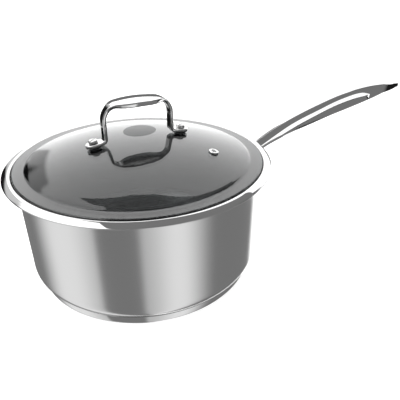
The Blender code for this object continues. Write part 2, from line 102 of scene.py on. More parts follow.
# Lid fasteners, stacked along the glass's normal
SCREW_R = 38.0 * MM
SHANK_R = 2.0 * MM
SCREW_HOLE_R = 2.3 * MM
SCREW_HEAD_R = 3.7 * MM
SCREW_HEAD_H = 2.5 * MM
SCREW_SLOT = 1.0 * MM
PAD_R = 5.0 * MM
PAD_T = 0.8 * MM
SEAL_R = 5.2 * MM
SEAL_T = 1.2 * MM
WASHER_R = 5.6 * MM
WASHER_T = 0.8 * MM
NUT_R = 4.0 * MM
NUT_H = 5.6 * MM

# Long handle: distance out from the pan's axis, height of the top line, height of the bottom line, width
HANDLE_STATIONS = [
    (103.2, 86.5, 71.5, 13.0),
    (112.0, 90.6, 74.6, 11.0),
    (122.0, 95.4, 79.0, 10.4),
    (135.0, 101.3, 84.0, 10.6),
    (150.0, 107.8, 88.6, 12.2),
    (168.0, 114.8, 93.6, 15.2),
    (190.0, 122.2, 98.6, 19.2),
    (212.0, 128.5, 103.6, 22.8),
    (234.0, 132.6, 107.8, 26.0),
    (256.0, 134.5, 112.0, 27.8),
    (276.0, 134.2, 116.0, 27.8),
    (291.0, 132.2, 119.5, 25.4),
    (303.0, 129.6, 122.0, 19.6),
    (312.0, 127.4, 123.6, 11.6),
    (316.8, 126.2, 124.4, 4.0),
]
# Handle's sides: distance out, then where the straight side and the cove end, as shares of the depth
HANDLE_SIDES = [
    (103.2, 0.50, 0.88),
    (130.0, 0.50, 0.88),
    (160.0, 0.32, 0.82),
    (190.0, 0.26, 0.73),
    (220.0, 0.20, 0.69),
    (246.0, 0.22, 0.68),
    (264.0, 0.48, 0.66),
    (282.0, 0.50, 0.66),
    (316.8, 0.50, 0.70),
]
HANDLE_RINGS = 150
HANDLE_CROWN = 0.11
HANDLE_KEEL = 0.56
HANDLE_WALL = 2.0 * MM
HANDLE_HOLLOW_END = 272.0 * MM
SLOT_X = 298.0 * MM
SLOT_LENGTH = 14.0 * MM
SLOT_WIDTH = 8.0 * MM

ROUND_STEPS = 180
SMALL_STEPS = 48
FINE_STEP = math.radians(7)
SPACING = 3.0 * MM

# Studio: brightness of the panels, with 1 as plain white
WHITE = 1.6
SHEET_WHITE = 1.40
SOFT_BOX = 0.93
DISC_GREY = 0.75
PALE_GREY = 0.72
MID_GREY = 0.215
SIDE_GREY = 0.2
GRIP_GREY = 0.17
DIM = 0.10
BLACK = 0.012

# Studio: elevations past the poles, so that a panel's soft edge stays out of sight
OVERHEAD = 100
UNDERFOOT = -100

# Studio: sizes and places of the floor, the backdrop and the cards
FLOOR_R = 9.0
BACKDROP_R = 8.9
FLAG_CENTRE = (0.0075, 0.0135)
FLAG_INNER_R = 0.0765
FLAG_SPREAD = 0.0285  # how much wider the inner edge is at the right end
FLAG_FLARE = 0.0135  # how much wider the inner edge is at the left end
FLAG_CORNER_R = 0.098
FLAG_OUTER_R = 0.20
FLAG_Z = 0.141
DISC_CENTRE = (0.044, 0.115, 0.140)
DISC_HALF_WIDTH = 0.023
DISC_HALF_HEIGHT = 0.021
SHEET_Z = 0.002


# Outlines -----------------------------------------------------------------------------------------


def arc(centre, radius, start, end, step=FINE_STEP):
    """Points on an arc from one angle to another, both ends included."""
    count = max(1, math.ceil(abs(end - start) / step - 0.01))
    angles = [start + (end - start) * k / count for k in range(count + 1)]
    return [(centre[0] + radius * math.cos(a), centre[1] + radius * math.sin(a)) for a in angles]


def rounded_path(corners, radii):
    """An open path through corners, with each inner corner rounded to its radius."""
    points = [corners[0]]
    for before, corner, after, radius in zip(corners, corners[1:], corners[2:], radii):
        a = (Vector(before) - Vector(corner)).normalized()
        b = (Vector(after) - Vector(corner)).normalized()
        half = a.angle(b) / 2
        centre = Vector(corner) + (a + b).normalized() * radius / math.sin(half)
        start = Vector(corner) + a * radius / math.tan(half) - centre
        end = Vector(corner) + b * radius / math.tan(half) - centre
        first = math.atan2(start.y, start.x)
        turn = math.remainder(math.atan2(end.y, end.x) - first, math.tau)
        points += arc(centre, radius, first, first + turn)
    return points + [corners[-1]]


def offset(path, distance):
    """The path moved sideways, to the left of its direction."""
    moved = []
    for k, point in enumerate(path):
        ahead = Vector(path[min(k + 1, len(path) - 1)]) - Vector(point)
        behind = Vector(point) - Vector(path[max(k - 1, 0)])
        ways = [way.normalized() for way in (ahead, behind) if way.length > 0]
        along = sum(ways, Vector((0, 0))).normalized()
        moved.append((point[0] - along.y * distance, point[1] + along.x * distance))
    return moved


def denser(path, spacing):
    """The same path with points added along its long straight stretches."""
    points = [path[0]]
    for one, two in zip(path, path[1:]):
        count = max(1, round((Vector(two) - Vector(one)).length / spacing))
        points += [tuple(Vector(one).lerp(Vector(two), k / count)) for k in range(1, count + 1)]
    return points


def sampled(stations, at, column):
    """A smooth value between stations, by a cubic through the four nearest."""
    places = [row[0] * MM for row in stations]
    k = min(max(sum(place <= at for place in places) - 1, 0), len(places) - 2)
    near = [stations[min(max(j, 0), len(stations) - 1)] for j in (k - 1, k, k + 1, k + 2)]
    x0, x1, x2, x3 = (row[0] for row in near)
    y0, y1, y2, y3 = (row[column] for row in near)
    span = x2 - x1
    slope_1 = (y2 - y0) / (x2 - x0) * span
    slope_2 = (y3 - y1) / (x3 - x1) * span
    t = min(max((at / MM - x1) / span, 0.0), 1.0)
    value = (
        y1 * (2 * t**3 - 3 * t**2 + 1)
        + slope_1 * (t**3 - 2 * t**2 + t)
        + y2 * (3 * t**2 - 2 * t**3)
        + slope_2 * (t**3 - t**2)
    )
    return value * MM


# Pieces -------------------------------------------------------------------------------------------


def shown(name, bm, finish, node, body, sharp=math.radians(38)):
    """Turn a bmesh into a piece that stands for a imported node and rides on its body."""
    bmesh.ops.recalc_face_normals(bm, faces=bm.faces)
    mesh = bpy.data.meshes.new(name)
    bm.to_mesh(mesh)
    bm.free()
    mesh.materials.append(finish)
    mesh.shade_smooth()
    mesh.set_sharp_from_angle(angle=sharp)
    item = bpy.data.objects.new(name, mesh)
    bpy.context.scene.collection.objects.link(item)
    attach(item, body)
    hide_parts(node)
    return item


def spun(outline, steps, closed=False, place=Matrix.Identity(4)):
    """A skin of revolution about Z from (radius, height) points, moved to its place."""
    bm = bmesh.new()
    turns = [math.tau * k / steps for k in range(steps)]
    rings = []
    for radius, height in outline:
        if radius < 0.001 * MM:
            rings.append([bm.verts.new((0, 0, height))])
        else:
            rings.append([bm.verts.new((radius * math.cos(a), radius * math.sin(a), height)) for a in turns])
    pairs = list(zip(rings, rings[1:]))
    if closed:
        pairs.append((rings[-1], rings[0]))
    for one, two in pairs:
        for k in range(steps):
            corners = [one[(k - 1) % len(one)], one[k % len(one)], two[k % len(two)], two[(k - 1) % len(two)]]
            corners = list(dict.fromkeys(corners))
            if len(corners) > 2:
                bm.faces.new(corners)
    bmesh.ops.transform(bm, matrix=place, verts=bm.verts)
    return bm


def skinned(rings, hollow=()):
    """A skin over rings of points, with an optional hollow that opens at the first ring."""
    bm = bmesh.new()
    skins = [[[bm.verts.new(p) for p in ring] for ring in group] for group in (rings, hollow) if group]
    for skin in skins:
        for one, two in zip(skin, skin[1:]):
            for k in range(len(one)):
                bm.faces.new((one[k - 1], one[k], two[k], two[k - 1]))
        bm.faces.new(skin[-1])
    if hollow:
        edges = []
        for skin in skins:
            ring = skin[0]
            edges += [bm.edges.get((ring[k - 1], ring[k])) for k in range(len(ring))]
        bmesh.ops.triangle_fill(bm, use_beauty=True, edges=edges, normal=(-1, 0, 0))
    else:
        bm.faces.new(skins[0][0])
    return bm


def bored(bm, cutters, name):
    """The skin with closed cutter skins taken out of it."""
    mesh = bpy.data.meshes.new(name)
    bmesh.ops.recalc_face_normals(bm, faces=bm.faces)
    bm.to_mesh(mesh)
    bm.free()
    item = bpy.data.objects.new(name, mesh)
    bpy.context.scene.collection.objects.link(item)
    tools = []
    for k, cutter in enumerate(cutters):
        bmesh.ops.recalc_face_normals(cutter, faces=cutter.faces)
        shape = bpy.data.meshes.new(f"{name}_tool_{k}")
        cutter.to_mesh(shape)
        cutter.free()
        tool = bpy.data.objects.new(f"{name}_tool_{k}", shape)
        bpy.context.scene.collection.objects.link(tool)
        modifier = item.modifiers.new("bore", "BOOLEAN")
        modifier.operation = "DIFFERENCE"
        modifier.solver = "EXACT"
        modifier.object = tool
        tools.append(tool)
    bpy.context.view_layer.update()
    result = bmesh.new()
    evaluated = item.evaluated_get(bpy.context.evaluated_depsgraph_get())
    result.from_mesh(evaluated.to_mesh())
    for thing in [item, *tools]:
        bpy.data.objects.remove(thing, do_unlink=True)
    return result


def upright(outline, bottom, top):
    """A closed upright prism on an outline in X and Y."""
    bm = bmesh.new()
    low = [bm.verts.new((x, y, bottom)) for x, y in outline]
    high = [bm.verts.new((x, y, top)) for x, y in outline]
    for k in range(len(outline)):
        bm.faces.new((low[k - 1], low[k], high[k], high[k - 1]))
    bm.faces.new(low)
    bm.faces.new(high)
    return bm


# The pan ------------------------------------------------------------------------------------------


def pan_shell(finish):
    """The drawn shell: floor, wall, the step the lid sits in, and the rolled pouring rim."""
    half = SHEET / 2
    floor = FLOOR_UNDERSIDE_Z + half
    wall = WALL_OUTER_R - half
    seat = SEAT_Z - half
    step = SEAT_OUTER_R + half
    crest = RIM_CREST_Z - half
    bends = [FLOOR_CORNER_R, 2.0 * MM, 1.0 * MM, 0.9 * MM]
    corners = [(0, floor), (wall, floor), (wall, seat), (step, seat), (step, crest)]
    path = denser(rounded_path(corners + [(step + 1.0 * MM, crest)], bends), SPACING)
    roll_from = math.radians(85)
    roll_to = math.pi / 2 - RIM_ROLL_END
    end = path[-1]
    centre = (end[0] - RIM_ROLL_R * math.cos(roll_from), end[1] - RIM_ROLL_R * math.sin(roll_from))
    path += arc(centre, RIM_ROLL_R, roll_from, roll_to, math.radians(2.5))[1:]
    inner = offset(path, half)
    outer = offset(path, -half)
    inner[0] = (0.0, inner[0][1])
    outer[0] = (0.0, outer[0][1])
    lip = Vector(path[-1])
    across = Vector(inner[-1]) - lip
    rounding = []
    for degrees in range(15, 180, 15):
        turn = math.radians(degrees)
        rounding.append(tuple(lip + across * math.cos(turn) + Vector((across.y, -across.x)) * math.sin(turn)))
    bm = spun(inner + rounding + outer[::-1], ROUND_STEPS)
    return shown("drawn_pan_shell", bm, finish, "pan_body", "pan")


def capsule(finish):
    """The pressed cup round the heat-spreading disc, with a rolled upper lip."""
    inner_r = CAPSULE_R - CAPSULE_SHEET
    bend = CAPSULE_EDGE_R
    inside = bend - CAPSULE_SHEET
    centre = (CAPSULE_R - bend, bend)
    lip_z = CAPSULE_H - CAPSULE_LIP_R
    outline = [(0, CAPSULE_SHEET)] + arc(centre, inside, -math.pi / 2, 0)
    outline += arc((inner_r + CAPSULE_LIP_R, lip_z), CAPSULE_LIP_R, math.pi, math.pi / 2, 2 * FINE_STEP)
    outline += arc((CAPSULE_R - CAPSULE_LIP_R, lip_z), CAPSULE_LIP_R, math.pi / 2, 0, 2 * FINE_STEP)
    outline += arc(centre, bend, 0, -math.pi / 2) + [(0, 0)]
    bm = spun(denser(outline, 2 * SPACING), ROUND_STEPS)
    return shown("pressed_capsule", bm, finish, "base_capsule", "pan")


def handle_section(x):
    """One upright slice of the handle: crowned top, straight sides, a cove, and a narrower keel."""
    top = sampled(HANDLE_STATIONS, x, 1)
    bottom = sampled(HANDLE_STATIONS, x, 2)
    half = sampled(HANDLE_STATIONS, x, 3) / 2
    depth = top - bottom
    crown = 2 * half * HANDLE_CROWN * min(1.0, depth / (14 * MM))
    edge = min(1.1 * MM, depth * 0.2)
    cove = min(1.0, max(0.0, (depth - 5 * MM) / (10 * MM)))
    keel = half * (1 - (1 - HANDLE_KEEL) * cove)
    side_end = top - crown - sampled(HANDLE_SIDES, x, 1) / MM * depth
    cove_end = top - sampled(HANDLE_SIDES, x, 2) / MM * depth
    keel_edge = min(1.4 * MM, depth * 0.2)
    right = [(half * f, top - crown * f * f) for f in (0.0, 0.12, 0.24, 0.36, 0.48, 0.6, 0.72)]
    right += arc((half - edge, top - crown - edge), edge, math.radians(75), 0, math.radians(12))
    side_top = top - crown - edge
    for share in (0.08, 0.5, 0.92):
        right.append((half - 0.2 * MM * cove * share, side_top + (side_end - side_top) * share))
    right.append((half - 0.2 * MM * cove, side_end))
    for k in range(1, 13):
        turn = math.pi / 2 * k / 12
        out = half - (half - keel) * math.sin(turn)
        down = k / 12 + (1 - math.cos(turn) - k / 12) * cove
        right.append((out, side_end - (side_end - cove_end) * down))
    right += arc((keel - keel_edge, bottom + keel_edge), keel_edge, 0, -math.pi / 2, math.radians(15))
    left = [(-y, z) for y, z in right[1:]][::-1]
    return [(x, y, z) for y, z in right + [(0.0, bottom)] + left]


def handle_hollow_section(x):
    """One slice of the space inside the handle."""
    top = sampled(HANDLE_STATIONS, x, 1) - HANDLE_WALL
    bottom = sampled(HANDLE_STATIONS, x, 2) + HANDLE_WALL
    half = sampled(HANDLE_STATIONS, x, 3) / 2 * HANDLE_KEEL - HANDLE_WALL * 0.6
    middle = (top + bottom) / 2
    tall = (top - bottom) / 2
    turns = [math.tau * k / 24 for k in range(24)]
    return [(x, half * math.sin(a), middle + tall * math.cos(a)) for a in turns]


def cast_handle(finish):
    """The hollow casting with its hanging slot."""
    start = HANDLE_STATIONS[0][0] * MM
    end = HANDLE_STATIONS[-1][0] * MM
    shares = [math.sin(math.pi / 2 * k / HANDLE_RINGS) ** 0.9 for k in range(HANDLE_RINGS + 1)]
    rings = [handle_section(start + (end - start) * share) for share in shares]
    hollow_rings = 40
    spread = [start + (HANDLE_HOLLOW_END - start) * k / hollow_rings for k in range(hollow_rings + 1)]
    bm = skinned(rings, [handle_hollow_section(x) for x in spread])
    straight = (SLOT_LENGTH - SLOT_WIDTH) / 2
    step = math.radians(12)  # an odd number of sides, so that no corner lies on the handle's centre line
    right = arc((SLOT_X + straight, 0), SLOT_WIDTH / 2, -math.pi / 2, math.pi / 2, step)
    left = arc((SLOT_X - straight, 0), SLOT_WIDTH / 2, math.pi / 2, 3 * math.pi / 2, step)
    bm = bored(bm, [upright(right + left, 100 * MM, 150 * MM)], "handle_blank")
    return shown("cast_handle", bm, finish, "long_handle", "pan", math.radians(28))


# The lid ------------------------------------------------------------------------------------------


def glass_top_line():
    """The upper side of the glass from its centre out to its edge."""
    centre = (0.0, GLASS_TOP_Z - DOME_R)
    dome_end = math.asin(DOME_END_R / DOME_R)
    line = arc(centre, DOME_R, math.pi / 2, math.pi / 2 - dome_end, math.radians(0.7))
    x, z = line[-1]
    bend = (x - SHOULDER_R * math.sin(dome_end), z - SHOULDER_R * math.cos(dome_end))
    line += arc(bend, SHOULDER_R, math.pi / 2 - dome_end, math.pi / 2 - SHOULDER_SLOPE, math.radians(2))[1:]
    x, z = line[-1]
    bend = (x + HOLLOW_R * math.sin(SHOULDER_SLOPE), z + HOLLOW_R * math.cos(SHOULDER_SLOPE))
    down = -math.pi / 2
    line += arc(bend, HOLLOW_R, down - SHOULDER_SLOPE, down - FLANGE_SLOPE, math.radians(3))[1:]
    x, z = line[-1]
    edge = GLASS_R - GLASS_EDGE_R
    return line + denser([line[-1], (edge, z - (edge - x) * math.tan(FLANGE_SLOPE))], 1.0 * MM)[1:]


def on_glass(radius, azimuth):
    """The place on the upper side of the glass at a distance from the axis, with Z along its normal."""
    lean = math.asin(radius / DOME_R)
    height = GLASS_TOP_Z - DOME_R * (1 - math.cos(lean))
    swing = Matrix.Rotation(azimuth, 4, "Z")
    return swing @ Matrix.Translation((radius, 0, height)) @ Matrix.Rotation(lean, 4, "Y")


def drill(place, radius):
    """A cutting cylinder through the glass or a foot."""
    reach = 12 * MM
    return spun([(0, reach), (radius, reach), (radius, -reach), (0, -reach)], SMALL_STEPS, place=place)


def domed_glass(finish):
    """The tempered dome with its ground edge and its holes."""
    upper = glass_top_line()
    lower = offset(upper, -GLASS_T)
    lower[0] = (0.0, lower[0][1])
    lower[-1] = (upper[-1][0], upper[-1][1] - GLASS_T)
    corner = GLASS_EDGE_R
    x, z = upper[-1]
    edge = arc((x, z - corner), corner, math.pi / 2, 0, math.radians(15))[1:]
    edge += arc((x, z - GLASS_T + corner), corner, 0, -math.pi / 2, math.radians(15))[:-1]
    bm = spun(upper + edge + lower[::-1], ROUND_STEPS)
    places = [on_glass(SCREW_R, 0), on_glass(SCREW_R, math.pi), on_glass(VENT_R, VENT_AZIMUTH)]
    radii = [SHANK_R + GAP * 1.6, SHANK_R + GAP * 1.6, VENT_TUBE_R + GAP]
    bm = bored(bm, [drill(place, radius) for place, radius in zip(places, radii)], "glass_blank")
    return shown("domed_glass", bm, finish, "lid_glass", "lid")


def round_fitting(name, outline, place, finish, node, closed=False):
    """A small turned piece on the lid, at its place on the glass."""
    bm = spun(outline, SMALL_STEPS, closed, place)
    return shown(name, bm, finish, node, "lid")


def washer_outline(outer, inner, top, thickness):
    """The closed section of a flat ring with softened rims."""
    soft = min(0.25 * MM, thickness / 4)
    bottom = top - thickness
    outline = [(inner, top)] + arc((outer - soft, top - soft), soft, math.pi / 2, 0, math.radians(30))
    outline += arc((outer - soft, bottom + soft), soft, 0, -math.pi / 2, math.radians(30))
    return outline + [(inner, bottom)]


def eyelet_outline():
    """The rolled steam grommet: a domed head above the glass and a spread tail below."""
    head_top = GAP + 1.3 * MM
    tail_r = VENT_TUBE_R + 1.1 * MM
    tail_top = -GLASS_T - GAP - WASHER_T - GAP
    outline = [(VENT_BORE_R, head_top - 0.5 * MM), (VENT_BORE_R + 0.12 * MM, head_top - 0.2 * MM)]
    outline += [(VENT_BORE_R + 0.4 * MM, head_top)]
    outline += arc((VENT_HEAD_R - 0.9 * MM, head_top - 0.9 * MM), 0.9 * MM, math.pi / 2, 0, math.radians(10))
    outline += [(VENT_HEAD_R, GAP), (VENT_TUBE_R, GAP), (VENT_TUBE_R, tail_top), (tail_r, tail_top)]
    return outline + [(tail_r, tail_top - 0.5 * MM), (VENT_BORE_R, tail_top - 0.9 * MM)]


def nut_outline():
    """The section of a domed nut, closed below, with a blind bore."""
    top = -GLASS_T - SEAL_T - WASHER_T - 3 * GAP
    bottom = top - NUT_H
    round_r = 2.6 * MM
    outline = [(0, bottom + 1.2 * MM), (SCREW_HOLE_R, bottom + 1.2 * MM), (SCREW_HOLE_R, top)]
    outline += [(NUT_R - 0.2 * MM, top), (NUT_R, top - 0.2 * MM)]
    outline += arc((NUT_R - round_r, bottom + round_r), round_r, 0, -math.pi / 2)
    return outline + [(0, bottom)]


def slotted_screw(name, place, finish, node):
    """A screw with a low round head and a straight slot."""
    seat = GAP + PAD_T + GAP + LOOP_T + GAP
    head_top = seat + SCREW_HEAD_H
    tip = -GLASS_T - SEAL_T - WASHER_T - 3 * GAP - NUT_H + 1.6 * MM
    soft = 1.2 * MM
    outline = [(0, head_top)]
    outline += arc((SCREW_HEAD_R - soft, head_top - soft), soft, math.pi / 2, 0, math.radians(10))
    outline += [(SCREW_HEAD_R, seat), (SHANK_R, seat)]
    outline += [(SHANK_R, tip + 0.4 * MM), (SHANK_R - 0.4 * MM, tip), (0, tip)]
    half_x, half_y = 5 * MM, SCREW_SLOT / 2
    slot = [(-half_x, -half_y), (half_x, -half_y), (half_x, half_y), (-half_x, half_y)]
    blade = upright(slot, head_top - 1.1 * MM, head_top + 2 * MM)
    turned = place @ Matrix.Rotation(math.radians(35), 4, "Z")
    bmesh.ops.transform(blade, matrix=turned, verts=blade.verts)
    bm = bored(spun(outline, SMALL_STEPS, place=place), [blade], name + "_blank")
    return shown(name, bm, finish, node, "lid", math.radians(30))


def loop_line():
    """The right half of the loop's centre line in X and Z, from the top's middle to the foot's end."""
    lean = math.asin(SCREW_R / DOME_R)
    foot = on_glass(SCREW_R, 0) @ Vector((0, 0, GAP + PAD_T + GAP + LOOP_T / 2))
    outward = Vector((math.cos(lean), -math.sin(lean)))
    screw = Vector((foot.x, foot.z))
    end = screw + outward * FOOT_END
    knee = screw + outward * ((LEG_X - screw.x) / outward.x)
    top = LOOP_TOP_Z - LOOP_T / 2
    corners = [(0, top - LOOP_ARCH), (LEG_X, top - LOOP_ARCH), tuple(knee), tuple(end)]
    return denser(rounded_path(corners, [LOOP_CORNER_R, FOOT_BEND_R]), 0.7 * MM)


def arched(x, z):
    """Lift a point of the loop's line by the top's arch."""
    share = max(0.0, 1 - (x / LEG_X) ** 2)
    height = min(1.0, max(0.0, (z - (LOOP_TOP_Z - 20 * MM)) / (15 * MM)))
    return z + LOOP_ARCH * share * height


def loop_width(x, z, from_end):
    """Width of the strap: wide over the grip, narrow down the legs, round at the end of the foot."""
    if z > LOOP_TOP_Z - 12 * MM:
        share = min(1.0, abs(x) / GRIP_HALF_LENGTH)
        return LEG_WIDTH + (GRIP_WIDTH - LEG_WIDTH) * (1 - share**3) ** 1.5
    spread = min(1.0, max(0.0, (x - LEG_X) / (5 * MM)))
    spread = spread * spread * (3 - 2 * spread)
    width = LEG_WIDTH + (FOOT_WIDTH - LEG_WIDTH) * spread
    if from_end < width / 2:
        width = 2 * math.sqrt(max((width / 2) ** 2 - (width / 2 - from_end) ** 2, (0.9 * MM) ** 2))
    return width


def strap_section(point, across, width):
    """A rounded oblong square to the strap's line, thicker and curled down where it is wide."""
    share = max(0.0, (width - FOOT_WIDTH) / (GRIP_WIDTH - FOOT_WIDTH))
    top = LOOP_T / 2
    bottom = top - LOOP_T - (GRIP_T - LOOP_T) * share
    soft = min(1.0 * MM, width * 0.3)
    side = width / 2 - soft
    spread = [side * f for f in (0.95, 0.8, 0.6, 0.4, 0.2, 0.0, -0.2, -0.4, -0.6, -0.8, -0.95)]
    bend = math.radians(15)
    upper = arc((side, top - soft), soft, 0, math.pi / 2, bend) + [(y, top) for y in spread]
    upper += arc((-side, top - soft), soft, math.pi / 2, math.pi, bend)
    lower = arc((-side, bottom + soft), soft, math.pi, 3 * math.pi / 2, bend)
    lower += [(-y, bottom) for y in spread]
    lower += arc((side, bottom + soft), soft, -math.pi / 2, 0, bend)
    section = []
    for y, t in upper + lower:
        t -= GRIP_CURL * share * (2 * y / width) ** 2
        section.append((point.x + across.x * t, y, point.y + across.y * t))
    return section


def bent_loop(places, finish):
    """The bent strap: foot, leg, grip, leg, foot."""
    right = [(x, arched(x, z)) for x, z in loop_line()]
    lengths = [0.0]
    for one, two in zip(right, right[1:]):
        lengths.append(lengths[-1] + (Vector(two) - Vector(one)).length)
    widths = [loop_width(x, z, lengths[-1] - run) for (x, z), run in zip(right, lengths)]
    line = [(-x, z) for x, z in right[:0:-1]] + right
    spans = widths[:0:-1] + widths
    rings = []
    for k, point in enumerate(line):
        along = Vector(line[min(k + 1, len(line) - 1)]) - Vector(line[max(k - 1, 0)])
        along.normalize()
        rings.append(strap_section(Vector(point), Vector((-along.y, along.x)), spans[k]))
    bm = bored(skinned(rings), [drill(place, SCREW_HOLE_R) for place in places], "loop_blank")
    return shown("bent_loop", bm, finish, "lid_loop", "lid")


# Shader sockets -----------------------------------------------------------------------------------


class Signal:
    """A socket whose arithmetic adds Math nodes."""

    def __init__(self, tree, socket):
        self.tree = tree
        self.socket = socket

    def math(self, operation, *others):
        return self.tree.make("ShaderNodeMath", {"operation": operation}, [self, *others])

    def __add__(self, other):
        return self.math("ADD", other)

    def __sub__(self, other):
        return self.math("SUBTRACT", other)

    def __rsub__(self, other):
        return self.tree.make("ShaderNodeMath", {"operation": "SUBTRACT"}, [other, self])

    def __mul__(self, other):
        return self.math("MULTIPLY", other)

    def __truediv__(self, other):
        return self.math("DIVIDE", other)

    def __pow__(self, other):
        return self.math("POWER", other)

    __radd__ = __add__
    __rmul__ = __mul__


class Tree:
    """A node tree that is written as expressions."""

    def __init__(self, owner):
        owner.use_nodes = True
        self.owner = owner
        self.nodes = owner.node_tree.nodes
        self.links = owner.node_tree.links
        self.nodes.clear()

    def make(self, kind, settings=None, inputs=(), output=0):
        """Any node: its type, its settings, then the values or links of its sockets."""
        node = self.nodes.new(kind)
        for name, value in (settings or {}).items():
            if name == "stops":
                self.set_stops(node.color_ramp, value)
            else:
                setattr(node, name, value)
        pairs = inputs.items() if isinstance(inputs, dict) else enumerate(inputs)
        for key, value in pairs:
            if isinstance(value, Signal):
                self.links.new(value.socket, node.inputs[key])
            elif value is not None:
                node.inputs[key].default_value = value
        return Signal(self, node.outputs[output]) if node.outputs else None

    @staticmethod
    def set_stops(ramp, stops):
        """Give a colour ramp its (place, grey) stops."""
        while len(ramp.elements) < len(stops):
            ramp.elements.new(1.0)
        for element, (place, grey) in zip(ramp.elements, stops):
            element.position = place
            element.color = (grey, grey, grey, 1.0)

    def smooth(self, value, low, high):
        """Rises smoothly from 0 to 1 as the value goes from low to high."""
        settings = {"interpolation_type": "SMOOTHSTEP"}
        return self.make("ShaderNodeMapRange", settings, [value, low, high, 0.0, 1.0])

    def coordinates(self):
        """The piece's own coordinates in metres, whole and as X, Y and Z."""
        whole = self.make("ShaderNodeTexCoord", output="Object")
        parts = self.make("ShaderNodeSeparateXYZ", inputs=[whole]).socket.node
        return whole, [Signal(self, socket) for socket in parts.outputs]

    def vector(self, x, y, z):
        return self.make("ShaderNodeCombineXYZ", inputs=[x, y, z])

    def noise(self, vector, scale, detail=3.0, roughness=0.5):
        """Cloudy noise from 0 to 1."""
        values = {"Vector": vector, "Scale": scale, "Detail": detail, "Roughness": roughness}
        return self.make("ShaderNodeTexNoise", {"noise_dimensions": "3D"}, values)

    def blend(self, mask, one, two):
        """A colour that goes from one to the other by the mask."""
        node = self.make("ShaderNodeMix", {"data_type": "RGBA"}).socket.node
        for key, value in ((0, mask), (6, one), (7, two)):
            if isinstance(value, Signal):
                self.links.new(value.socket, node.inputs[key])
            else:
                node.inputs[key].default_value = value
        return Signal(self, node.outputs[2])

    def bump(self, height, distance, strength=1.0):
        """A normal raised by a height of 0 to 1 over a distance in metres."""
        values = {"Strength": strength, "Distance": distance, "Height": height}
        return self.make("ShaderNodeBump", inputs=values)

    def surface(self, **sockets):
        """The Principled shader, joined to the material's output."""
        named = {name.replace("_", " "): value for name, value in sockets.items()}
        shader = self.make("ShaderNodeBsdfPrincipled", inputs=named)
        self.make("ShaderNodeOutputMaterial", inputs=[shader])
        return self.owner


def grey(level, warm=0.0):
    """A nearly neutral colour."""
    return (level * (1 + warm), level, level * (1 - warm), 1.0)


# Finishes -----------------------------------------------------------------------------------------


def around(x, y, radius):
    """Distance run round the pan's axis, for grain that follows a turned surface."""
    return x.math("ARCTAN2", y) * radius


def drawn_steel():
    """Satin wall with a fine lathe-brushed grain, a brighter rim and a plain brushed inside."""
    tree = Tree(bpy.data.materials.new("drawn steel"))
    whole, (x, y, z) = tree.coordinates()
    radius = (x * x + y * y) ** 0.5
    run = around(x, y, WALL_OUTER_R)
    fine = tree.noise(tree.vector(run * 14, z * 5200, radius * 5200), 1.0, 2.0)
    broad = tree.noise(tree.vector(run * 5, z * 700, radius * 700), 1.0, 3.0)
    handling = tree.noise(whole, 32.0, 4.0, 0.6)
    rim = tree.smooth(z, SEAT_Z - 1.5 * MM, SEAT_Z + 0.5 * MM)
    inside = tree.smooth(radius, WALL_OUTER_R - 0.6 * MM, WALL_OUTER_R - 1.2 * MM)
    grain = (fine - 0.5) * 0.6 + (broad - 0.5) * 0.4
    satin = 0.16 + grain * 0.05 + handling * 0.03
    bright = 0.035 + handling * 0.03
    roughness = satin + (bright - satin) * rim
    roughness = roughness + inside * (1 - rim) * 0.10
    shade = 0.5 + grain * 0.5 * (1 - rim)
    colour = tree.blend(shade, grey(0.735), grey(0.795))
    normal = tree.bump(grain * (1 - rim), 0.004 * MM, 0.5)
    return tree.surface(Base_Color=colour, Roughness=roughness, Metallic=1.0, Normal=normal)


def polished(tree, grain_x, grain_y, grain_z, level=0.80, gloss=0.035):
    """Roughness, colour and normal of mirror-polished steel with faint buffing lines and handling marks."""
    whole, (x, y, z) = tree.coordinates()
    buffed = tree.noise(tree.vector(x * grain_x, y * grain_y, z * grain_z), 1.0, 3.0)
    handling = tree.noise(whole, 45.0, 4.0, 0.62)
    marks = tree.smooth(handling, 0.52, 0.74)
    roughness = gloss + buffed * 0.03 + marks * 0.05
    colour = tree.blend(marks * 0.6 + (buffed - 0.5) * 0.3, grey(level), grey(level - 0.05))
    return roughness, colour, tree.bump(buffed, 0.0015 * MM, 0.4)


def bright_steel(name, *grain):
    """Mirror-polished steel all over."""
    tree = Tree(bpy.data.materials.new(name))
    roughness, colour, normal = polished(tree, *grain)
    return tree.surface(Base_Color=colour, Roughness=roughness, Metallic=1.0, Normal=normal)


def cast_steel():
    """The handle's polished steel, rougher inside the slot where it is left as cast, with painted shade
    colouring the slot's walls near black.
    """
    tree = Tree(bpy.data.materials.new("buffed handle steel"))
    roughness, polish, normal = polished(tree, 90.0, 2400.0, 2400.0)
    _, (x, y, _) = tree.coordinates()
    # Painted shade: a mask over the slot's walls colours them near black, standing in for the shade in the
    # recess. The extra roughness is the as-cast surface.
    aside = ((x - SLOT_X).math("ABSOLUTE") - (SLOT_LENGTH - SLOT_WIDTH) / 2).math("MAXIMUM", 0.0)
    out = (aside * aside + y * y) ** 0.5
    slot = 1 - tree.smooth(out, SLOT_WIDTH / 2 + 0.05 * MM, SLOT_WIDTH / 2 + 0.35 * MM)
    colour = tree.blend(slot, polish, grey(0.03))
    roughness = roughness + slot * 0.4
    return tree.surface(Base_Color=colour, Roughness=roughness, Metallic=1.0, Normal=normal)


def turned_steel(name, level=0.76):
    """Small bright fittings with a fine turned grain."""
    tree = Tree(bpy.data.materials.new(name))
    whole, _ = tree.coordinates()
    grain = tree.noise(whole, 2600.0, 2.0)
    soil = tree.noise(whole, 260.0, 3.0)
    roughness = 0.08 + grain * 0.06 + soil * 0.05
    colour = tree.blend(soil, grey(level), grey(level - 0.08))
    normal = tree.bump(grain, 0.004 * MM, 0.5)
    return tree.surface(Base_Color=colour, Roughness=roughness, Metallic=1.0, Normal=normal)


